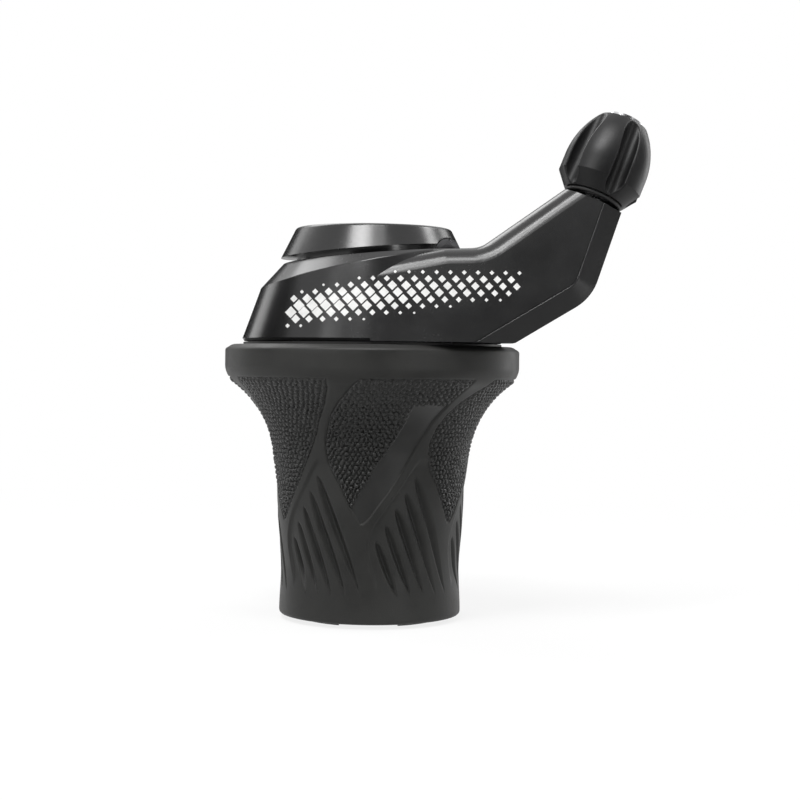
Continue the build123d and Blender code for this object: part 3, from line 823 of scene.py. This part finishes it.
    def edge(self, points: Outline, z: np.ndarray) -> np.ndarray:
        """Angle of an outline at given heights."""
        table = np.array(sorted(points, key=lambda p: p[1]))
        return np.interp(z, table[:, 1], table[:, 0])

    def side_distance(self, points: Outline, angle: np.ndarray, z: np.ndarray) -> np.ndarray:
        """Distance to the right of an outline, measured on the surface.

        Args:
            points: outline as (angle, height).
            angle: angles in degrees.
            z: heights in mm.

        Returns:
            Distances in mm, negative to the left.
        """
        r = self.radius(z)
        here = self.edge(points, z)
        step = 0.4
        slope = np.radians(self.edge(points, z + step) - self.edge(points, z - step)) * r / (2 * step)
        return np.radians(angle - here) * r / np.sqrt(1.0 + slope**2)

    def panel_distance(self, angle: np.ndarray, z: np.ndarray) -> np.ndarray:
        """Distance inside the grained panel's outline, negative outside.

        Args:
            angle: angles in degrees.
            z: heights in mm.

        Returns:
            Distances in mm.
        """
        right = -self.side_distance(self.PANEL_RIGHT, angle, z)
        left = self.side_distance(self.PANEL_LEFT, angle, z)
        top = (self.panel_head - z) * self.panel_head_ease
        foot = (z - self.panel_foot) * self.panel_foot_ease
        return np.minimum(np.minimum(right, left), np.minimum(top, foot))

    def bed_weight(self, angle: np.ndarray, z: np.ndarray) -> np.ndarray:
        """Share of the step down from the rib to the bed of the flutes.

        Args:
            angle: angles in degrees.
            z: heights in mm.

        Returns:
            Shares from 0 to 1.
        """
        inside = self.side_distance(self.CREASE, angle, z)
        step = smooth_step(inside / self.bed_edge)
        step = step * (1.0 - smooth_step((inside - self.bed_shelf) / self.bed_fade))
        foot = smooth_step((z - self.bed_foot) / self.bed_foot_fade)
        head = smooth_step((self.bed_head - z) / self.bed_head_fade)
        return step * (foot * head)

    def flute_weight(self, angle: np.ndarray, z: np.ndarray) -> np.ndarray:
        """Depth share of the slanted flutes: lenses with a steep left and a gentle right wall.

        Args:
            angle: angles in degrees.
            z: heights in mm.

        Returns:
            Shares from 0 to 1.
        """
        depth = np.zeros_like(angle)
        steep, gentle = self.flute_walls
        swell, taper = self.flute_powers
        for index in range(self.flutes):
            high = np.array(self.flute_head) + index * np.array(self.flute_head_step)
            low = np.array(self.flute_foot) + index * np.array(self.flute_foot_step)
            r = self.radius((high[1] + low[1]) / 2)
            scale = math.radians(1.0) * r
            way = np.array(((low[0] - high[0]) * scale, low[1] - high[1]))
            length = float(np.hypot(*way))
            way /= length
            across = (angle - high[0]) * scale
            along = (across * way[0] + (z - high[1]) * way[1]) / length
            off = across * way[1] - (z - high[1]) * way[0]
            t = np.clip(along, 0.0, 1.0)
            shape = np.power(t, swell) * np.power(1.0 - t, taper) / self.flute_peak
            width = (self.flute_width + self.flute_width_step * index) * shape + self.TINY
            share = self.flute_axis - off / width
            lens = smooth_step(share / steep) * smooth_step((1.0 - share) / gentle)
            lens *= np.minimum(1.0, self.flute_fill * shape) * ((along > 0.0) & (along < 1.0))
            depth = np.maximum(depth, lens)
        return depth

    def repeat(
        self, weight: Callable[[np.ndarray, np.ndarray], np.ndarray], angle: np.ndarray, z: np.ndarray
    ) -> np.ndarray:
        """Largest of a weight's repeats around the grip.

        Args:
            weight: method that takes angle and height.
            angle: angles in degrees.
            z: heights in mm.

        Returns:
            The weight all round.
        """
        pitch = 360.0 / self.repeats
        base = angle - pitch * np.round(angle / pitch)
        return np.max([weight(base + shift * pitch, z) for shift in (-1, 0, 1)], axis=0)

    def build_skin(self, name: str, section: Section, steps: int) -> bpy.types.Object:
        """Spin a section and press the relief into it.

        Args:
            name: name of the piece.
            section: closed section as (radius, height) in mm.
            steps: number of faces around the bar axis.

        Returns:
            The piece of the rubber's skin.
        """
        deselect_all()
        bpy.ops.mesh.primitive_circle_add(vertices=len(section), radius=self.hem_r * MM)
        skin = bpy.context.object
        skin.name = name
        write_points(skin, np.array([(r * MM, 0.0, z * MM) for r, z in section]))
        bpy.ops.object.mode_set(mode="EDIT")
        bpy.ops.mesh.select_all(action="SELECT")
        bpy.ops.mesh.spin(steps=steps, angle=2 * math.pi, center=(0, 0, 0), axis=(0, 0, 1))
        bpy.ops.object.mode_set(mode="OBJECT")
        close_and_orient(skin, self.skin_merge * MM)
        points = read_points(skin) / MM
        angle = np.degrees(np.arctan2(points[:, 0], -points[:, 1]))
        height = points[:, 2]
        outer = np.hypot(points[:, 0], points[:, 1]) > self.radius(height) - self.skin_reach
        outer &= (height > self.relief_foot) & (height < self.relief_head)
        panel = smooth_step(self.repeat(self.panel_distance, angle, height) / self.panel_edge)
        bed = self.repeat(self.bed_weight, angle, height)
        flute = self.repeat(self.flute_weight, angle, height)
        turn = np.radians(angle)
        lean = self.lean(height)
        inward = np.column_stack((-np.sin(turn) * lean, np.cos(turn) * lean, np.sqrt(1.0 - lean**2)))
        depth = panel * self.panel_depth + bed * self.bed_depth + flute * self.flute_depth
        write_points(skin, (points + inward * np.where(outer, depth, 0.0)[:, None]) * MM)
        smooth_by_angle(skin, self.skin_angle)
        self.settle(skin)
        return skin

    def lean(self, z: np.ndarray) -> np.ndarray:
        """Share of the surface normal that points away from the bar axis.

        Args:
            z: heights in mm.

        Returns:
            Shares from 0 to 1.
        """
        step = 0.05
        slope = (self.radius(z + step) - self.radius(z - step)) / (2 * step)
        return 1.0 / np.sqrt(1.0 + slope**2)

    def pebbles(self, along: np.ndarray, across: np.ndarray, seed: int) -> np.ndarray:
        """Rounded pebbles on a jittered hexagonal lattice.

        Args:
            along: distance up the surface in mm.
            across: distance around the surface in mm.
            seed: start of the random jitter.

        Returns:
            Heights from 0 to 1.
        """
        pitch = self.grain_pitch
        margin = self.LATTICE_MARGIN
        rows = int(np.ptp(along) / (pitch * self.HEX_ROW)) + 2 * margin + 1
        columns = int(np.ptp(across) / pitch) + 2 * margin + 1
        reach = self.PEBBLE_JITTER
        jitter = np.random.default_rng(seed).uniform(-reach, reach, (rows, columns, 2))
        size = np.random.default_rng(seed + 1).uniform(*self.PEBBLE_SIZES, (rows, columns))
        v = (along - along.min()) / (pitch * self.HEX_ROW) + margin
        u = (across - across.min()) / pitch + margin
        row = np.floor(v).astype(int)
        best = np.full(along.shape, self.FAR)
        second = np.full(along.shape, self.FAR)
        for dr in (-1, 0, 1, 2):
            i = np.clip(row + dr, 0, rows - 1)
            shift = 0.5 * (i % 2)
            column = np.floor(u - shift).astype(int)
            for dc in (-1, 0, 1, 2):
                j = np.clip(column + dc, 0, columns - 1)
                du = u - (j + shift + jitter[i, j, 0])
                dv = (v - (i + jitter[i, j, 1])) * self.HEX_ROW
                d = np.hypot(du, dv) / size[i, j]
                second = np.minimum(second, np.maximum(best, d))
                best = np.minimum(best, d)
        gap = smooth_step((second - best) / self.PEBBLE_GAP)
        dome = np.clip(1.0 - self.PEBBLE_DROP * best**2, 0.0, 1.0)
        return gap * (self.PEBBLE_FOOT + self.PEBBLE_DOME * dome)

    def build_grain(self, index: int) -> bpy.types.Object:
        """One grained panel, seated in its recess.

        Args:
            index: number of the panel, 0 for the one with the bare strip.

        Returns:
            The panel.
        """
        deselect_all()
        bpy.ops.mesh.primitive_grid_add(
            x_subdivisions=self.grain_columns, y_subdivisions=self.grain_rows, size=1.0
        )
        grain = bpy.context.object
        grain.name = f"grip_grain_{index + 1}"
        flat = read_points(grain)
        u = flat[:, 0] + 0.5
        v = flat[:, 1] + 0.5
        z = self.grain_foot + v * (self.grain_head - self.grain_foot)
        left = self.edge(self.PANEL_LEFT, z)
        right = self.edge(self.PANEL_RIGHT, z)
        angle = left + u * (right - left)
        r = self.radius(z)
        turn = np.radians(angle + index * 360.0 / self.repeats)
        lean = self.lean(z)
        heights = np.linspace(*self.grain_run, self.grain_samples)
        steps = np.hypot(np.diff(heights), np.diff(self.radius(heights)))
        along = np.interp(z, heights, np.concatenate(([0.0], np.cumsum(steps))))
        mean_r = self.grain_follow * r + (1.0 - self.grain_follow) * self.grain_mean_r
        across = np.radians(angle) * mean_r
        inside = self.panel_distance(angle, z)
        amount = smooth_step(inside / self.grain_edge)
        if index == 0:
            strip = self.side_distance(self.STRIP_LEFT, angle, z)
            bare = smooth_step((strip + self.strip_lap) / self.strip_edge)
            bare = bare * smooth_step((self.strip_top - z) / self.strip_top_edge)
            amount = amount * (1.0 - bare)
        level = -self.panel_depth - self.grain_sink + self.grain_rise * smooth_step(inside / self.panel_edge)
        lift = level + self.grain_height * amount * self.pebbles(along, across, self.grain_seed + index)
        out_r = r + lift * lean
        out_z = z - lift * np.sqrt(1.0 - lean**2)
        points = np.column_stack((out_r * np.sin(turn), -out_r * np.cos(turn), out_z))
        write_points(grain, points * MM)
        close_and_orient(grain, self.grain_merge * MM)
        if self.faces_in(grain):
            activate(grain)
            bpy.ops.object.mode_set(mode="EDIT")
            bpy.ops.mesh.select_all(action="SELECT")
            bpy.ops.mesh.flip_normals()
            bpy.ops.object.mode_set(mode="OBJECT")
        self.back_with_wall(grain)
        smooth_by_angle(grain, self.grain_angle)
        self.settle(grain)
        # The grained panels take the darker copy of the rubber; its darkness is painted shade.
        grain.data.materials[0] = self.finishes.grain
        return grain

    def back_with_wall(self, grain: bpy.types.Object) -> None:
        """Give a panel a wall with a coarse underside, which the recess hides.

        Args:
            grain: the open panel.
        """
        grain.vertex_groups.new(name="underside")
        wall = grain.modifiers.new("wall", "SOLIDIFY")
        wall.thickness = self.grain_wall * MM
        wall.offset = -1.0
        wall.shell_vertex_group = "underside"
        thin = grain.modifiers.new("thin", "DECIMATE")
        thin.ratio = self.grain_wall_keep
        thin.vertex_group = "underside"
        apply_modifiers(grain)

    def faces_in(self, obj: bpy.types.Object) -> bool:
        """Tell whether most faces of an open panel look towards the bar axis.

        Args:
            obj: the open panel.

        Returns:
            True where they do.
        """
        total = 0.0
        for face in obj.data.polygons:
            total += (face.normal.x * face.center.x + face.normal.y * face.center.y) * face.area
        return total < 0.0

    def settle(self, obj: bpy.types.Object) -> None:
        """Dress a rubber piece and let it turn with the grip.

        Args:
            obj: the rubber piece.
        """
        self.finishes.dress(obj, Slot.GRIP_RUBBER)
        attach(obj, Body.TWIST.value)

    def build(self) -> None:
        """Make the two skins and the grained panels in place of the plain solid."""
        barrel = self.build_skin("grip_barrel", self.barrel_outline(), self.barrel_steps)
        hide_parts("grip_sleeve")
        flare = self.build_skin("grip_flare", self.flare_outline(), self.flare_steps)
        for skin in (barrel, flare):
            LOG.info("%s: %d faces", skin.name, len(skin.data.polygons))
        for index in range(self.repeats):
            grain = self.build_grain(index)
            LOG.info("%s: %d faces", grain.name, len(grain.data.polygons))


@dataclass
class PrintedField:
    """White printed diamonds on the drum that shrink towards the horn, in mm."""

    finishes: Finishes
    left: float = -14.0
    right: float = 25.0
    foot: float = 51.2
    head: float = 61.5
    pitch: float = 2.3
    lean: float = 0.2
    largest: float = 1.02
    smallest: float = 0.22
    lift: float = 0.03
    film: float = 0.05
    ahead: float = 60.0
    cuts: int = 2

    BAND_FOOT = 2.5
    BAND_RISE = 4.2
    BAND_BOW = 1.2
    BOW_TURN = 2.6
    BAND_REACH = 3.9
    WIDEST = 0.42
    NARROWING = 0.75
    NARROWING_POWER = 1.3
    FULLNESS = 1.5
    SHRINK = 0.5

    def places(self) -> list[tuple[float, float, float]]:
        """Centres and half widths of the diamonds as (x, z, half) in mm.

        Returns:
            One row for each diamond.
        """
        spots = []
        rows = int((self.head - self.foot) / (self.pitch * 0.5)) + 1
        columns = int((self.right - self.left) / self.pitch) + 1
        for row in range(rows):
            z = self.foot + row * self.pitch * 0.5
            for column in range(columns):
                x = self.left + (column + 0.5 * (row % 2)) * self.pitch + self.lean * (z - self.foot)
                share = (x - self.left) / (self.right - self.left)
                bow = self.BAND_BOW * math.sin(self.BOW_TURN * share)
                middle = self.foot + self.BAND_FOOT + self.BAND_RISE * share + bow
                narrowing = self.NARROWING * abs(share - self.WIDEST) ** self.NARROWING_POWER
                fade = 1.0 - abs(z - middle) / (self.BAND_REACH * (1.0 - narrowing))
                swell = min(1.0, self.FULLNESS * fade)
                half = self.smallest + (self.largest - self.smallest) * swell * (1.0 - self.SHRINK * share)
                if fade > 0.0 and 0.0 <= share <= 1.0:
                    spots.append((x, z, half))
        return spots

    def build(self, drum: bpy.types.Object) -> None:
        """Lay the diamonds on the drum's front.

        Args:
            drum: the housing that they lie on.
        """
        deselect_all()
        spots = self.places()
        for index, (x, z, half) in enumerate(spots):
            bpy.ops.mesh.primitive_circle_add(
                vertices=4,
                radius=half * MM,
                fill_type="NGON",
                location=(x * MM, -self.ahead * MM, z * MM),
                rotation=(math.radians(90), 0, 0),
            )
            if index == 0:
                bpy.ops.object.transform_apply(location=True, rotation=True, scale=True)
                bpy.ops.object.mode_set(mode="EDIT")
        bpy.ops.mesh.select_all(action="SELECT")
        bpy.ops.mesh.subdivide(number_cuts=self.cuts)
        bpy.ops.object.mode_set(mode="OBJECT")
        field = bpy.context.object
        field.name = "printed_diamonds"
        wrap = field.modifiers.new("lay", "SHRINKWRAP")
        wrap.target = drum
        wrap.wrap_method = "PROJECT"
        wrap.use_project_y = True
        wrap.use_positive_direction = True
        wrap.use_negative_direction = False
        wrap.offset = self.lift * MM
        skin = field.modifiers.new("film", "SOLIDIFY")
        skin.thickness = self.film * MM
        skin.offset = -1.0
        apply_modifiers(field)
        field.data.materials.clear()
        field.data.materials.append(self.finishes.ink)
        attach(field, Body.FIXED.value)
        LOG.info("%s: %d diamonds", field.name, len(spots))


class PlainNodes:
    """Dresses the nodes that keep their own meshes."""

    def __init__(self, finishes: Finishes) -> None:
        """Keep the finishes."""
        self.finishes = finishes

    def build(self) -> None:
        """Give each node the finish of its slot."""
        slots = {part["node"]: part["material_slot"] for part in frame["record"]["subparts"]}
        for name, obj in frame["nodes"].items():
            self.finishes.dress(obj, Slot(slots[name]))
            LOG.info("%s: finish %s", name, slots[name])


@dataclass(frozen=True)
class Lamp:
    """Rectangular lamp in mm; a glow of 1 is a white face."""

    name: str
    place: Point
    size: Pair
    glow: float
    aim: Point = MIDDLE

    def build(self) -> None:
        """Add the lamp."""
        deselect_all()
        bpy.ops.object.light_add(type="AREA", location=[c * MM for c in self.place])
        lamp = bpy.context.object
        lamp.name = self.name
        lamp.data.shape = "RECTANGLE"
        lamp.data.size = self.size[0] * MM
        lamp.data.size_y = self.size[1] * MM
        lamp.data.energy = self.glow * math.pi * self.size[0] * self.size[1] * MM * MM
        face_point(lamp, self.place, self.aim)


@dataclass(frozen=True)
class DarkCard:
    """Grey or black card in mm that only reflections see."""

    name: str
    place: Point
    size: Pair
    tone: float = 0.01
    aim: Point = MIDDLE

    def build(self) -> None:
        """Add the card."""
        deselect_all()
        bpy.ops.mesh.primitive_plane_add(size=1.0)
        card = bpy.context.object
        card.name = self.name
        card.scale = (self.size[0] * MM, self.size[1] * MM, 1.0)
        face_point(card, self.place, self.aim)
        card.location = [c * MM for c in self.place]
        material, _, shader = start_material(self.name)
        shader.inputs["Base Color"].default_value = (self.tone, self.tone, self.tone, 1.0)
        shader.inputs["Roughness"].default_value = 1.0
        card.data.materials.append(material)
        card.visible_camera = False
        card.visible_diffuse = False
        card.visible_shadow = False


LAMPS = (
    Lamp("top_back", (-230.0, 300.0, 450.0), (420.0, 200.0), 3.5),
    Lamp("top_front", (-140.0, -330.0, 540.0), (230.0, 120.0), 20.5),
    Lamp("top_right", (40.0, -240.0, 560.0), (140.0, 120.0), 10.0),
    Lamp("crest_light", (-75.0, -190.0, 580.0), (60.0, 200.0), 17.0, aim=(25.0, -17.0, 66.0)),
    Lamp("right_top", (420.0, 130.0, 470.0), (190.0, 130.0), 10.0),
    Lamp("left_front", (-380.0, -470.0, 320.0), (190.0, 300.0), 3.0),
    Lamp("left_strip", (-430.0, 370.0, 190.0), (180.0, 420.0), 2.0),
    Lamp("right_strip", (430.0, 380.0, 170.0), (180.0, 420.0), 3.0),
    Lamp("left_low", (-480.0, 0.0, 62.0), (220.0, 110.0), 1.0, aim=(0.0, 0.0, 25.0)),
    Lamp("right_low", (440.0, 210.0, 62.0), (220.0, 110.0), 1.0, aim=(0.0, 0.0, 25.0)),
    Lamp("edge_low", (296.0, -442.0, 22.0), (55.0, 150.0), 17.0, aim=(28.0, -20.0, 55.0)),
    Lamp("edge_high", (419.0, -283.0, 250.0), (70.0, 70.0), 9.0, aim=(36.0, -17.0, 64.0)),
)

DARK_CARDS = (
    DarkCard("front_card", (60.0, -820.0, 330.0), (1300.0, 900.0)),
    DarkCard("right_card", (560.0, -160.0, 110.0), (520.0, 520.0), tone=0.35),
    DarkCard("left_card", (-640.0, 260.0, 140.0), (1000.0, 620.0)),
    DarkCard("right_back_card", (640.0, 320.0, 140.0), (1000.0, 620.0)),
    DarkCard("back_card", (40.0, 760.0, 160.0), (1200.0, 420.0)),
    DarkCard("floor_card", (200.0, -190.0, 2.0), (480.0, 330.0), tone=0.3, aim=(200.0, -190.0, 80.0)),
)


@dataclass
class Studio:
    """Floor, world, lamps and camera; the camera in mm and degrees, the rest in metres."""

    camera_place: Point = (5.0, -300.0, 44.9)
    focal: float = 75.8
    sensor: float = 36.0
    pitch: float = 1.2
    roll: float = 0.7
    sight: Pair = (0.01, 50.0)
    floor_size: float = 12.0
    floor_z: float = -0.00005
    floor_color: Color = (0.86, 0.86, 0.86)
    shadow_reach: Pair = (0.06, 0.3)
    shadow_fade: Pair = (0.82, 1.0)
    ambient: float = 0.22

    WHITE = (1.0, 1.0, 1.0, 1.0)

    def seen_rays(self, wires: Wiring) -> bpy.types.NodeSocket:
        """Socket that is 1 for what the eye, a reflection or a clear body sees.

        Args:
            wires: wiring of the floor or the world.

        Returns:
            The value's socket.
        """
        path = wires.node("ShaderNodeLightPath")
        seen = wires.math("MAXIMUM", path.outputs["Is Camera Ray"], path.outputs["Is Glossy Ray"])
        return wires.math("MAXIMUM", seen, path.outputs["Is Transmission Ray"])

    def floor(self) -> None:
        """Pale floor that keeps the object's shadow."""
        deselect_all()
        bpy.ops.mesh.primitive_plane_add(size=self.floor_size, location=(0, 0, self.floor_z))
        ground = bpy.context.object
        ground.name = "floor"
        material = bpy.data.materials.new("floor_white")
        material.use_nodes = True
        wires = Wiring(material.node_tree)
        wires.tree.nodes.clear()
        diffuse = wires.node("ShaderNodeBsdfDiffuse")
        diffuse.inputs["Color"].default_value = (*self.floor_color, 1.0)
        glow = wires.node("ShaderNodeEmission")
        glow.inputs["Color"].default_value = self.WHITE
        blend = wires.node("ShaderNodeMixShader")
        place = wires.node("ShaderNodeTexCoord")
        reach = wires.node("ShaderNodeVectorMath", operation="LENGTH")
        wires.join(place.outputs["Object"], reach.inputs[0])
        share = wires.spread(reach.outputs["Value"], self.shadow_reach, self.shadow_fade)
        wires.join(wires.math("MULTIPLY", self.seen_rays(wires), share), blend.inputs["Fac"])
        wires.join(diffuse.outputs["BSDF"], blend.inputs[1])
        wires.join(glow.outputs["Emission"], blend.inputs[2])
        output = wires.node("ShaderNodeOutputMaterial")
        wires.join(blend.outputs["Shader"], output.inputs["Surface"])
        ground.data.materials.append(material)

    def world(self) -> None:
        """White surroundings to the eye and in reflections, softer as light."""
        world = bpy.data.worlds.new("studio")
        bpy.context.scene.world = world
        world.use_nodes = True
        wires = Wiring(world.node_tree)
        wires.tree.nodes.clear()
        back = wires.node("ShaderNodeBackground")
        strength = wires.spread(self.seen_rays(wires), RISE, (self.ambient, 1.0))
        wires.join(strength, back.inputs["Strength"])
        back.inputs["Color"].default_value = self.WHITE
        output = wires.node("ShaderNodeOutputWorld")
        wires.join(back.outputs["Background"], output.inputs["Surface"])

    def lights(self) -> None:
        """Place the lamps and the dark cards."""
        for piece in (*LAMPS, *DARK_CARDS):
            piece.build()

    def camera(self) -> None:
        """Set the camera at the photograph's viewpoint."""
        data = bpy.data.cameras.new("view")
        data.lens = self.focal
        data.sensor_width = self.sensor
        data.clip_start, data.clip_end = self.sight
        camera = bpy.data.objects.new("view", data)
        bpy.context.scene.collection.objects.link(camera)
        dip = math.radians(self.pitch)
        ahead = Vector((0.0, math.cos(dip), -math.sin(dip)))
        side = Vector((1.0, 0.0, 0.0))
        up = side.cross(ahead)
        turn = math.radians(self.roll)
        right = side * math.cos(turn) + up * math.sin(turn)
        top = up * math.cos(turn) - side * math.sin(turn)
        place = Vector(self.camera_place) * MM
        rows = [(right[i], top[i], -ahead[i], place[i]) for i in range(3)]
        camera.matrix_world = Matrix((*rows, (0.0, 0.0, 0.0, 1.0)))
        bpy.context.scene.camera = camera

    def build(self) -> None:
        """Set up the whole studio."""
        self.floor()
        self.world()
        self.lights()
        self.camera()
        bpy.context.scene.view_settings.view_transform = "Standard"


def main() -> None:
    """Build every piece of the shifter and its studio."""
    logging.basicConfig(level=logging.INFO, format="%(name)s %(message)s")
    finishes = Finishes()
    PlainNodes(finishes).build()
    RubberGrip(finishes).build()
    PrintedField(finishes).build(frame["nodes"]["housing"])
    Studio().build()


if __name__ == "__main__":
    main()
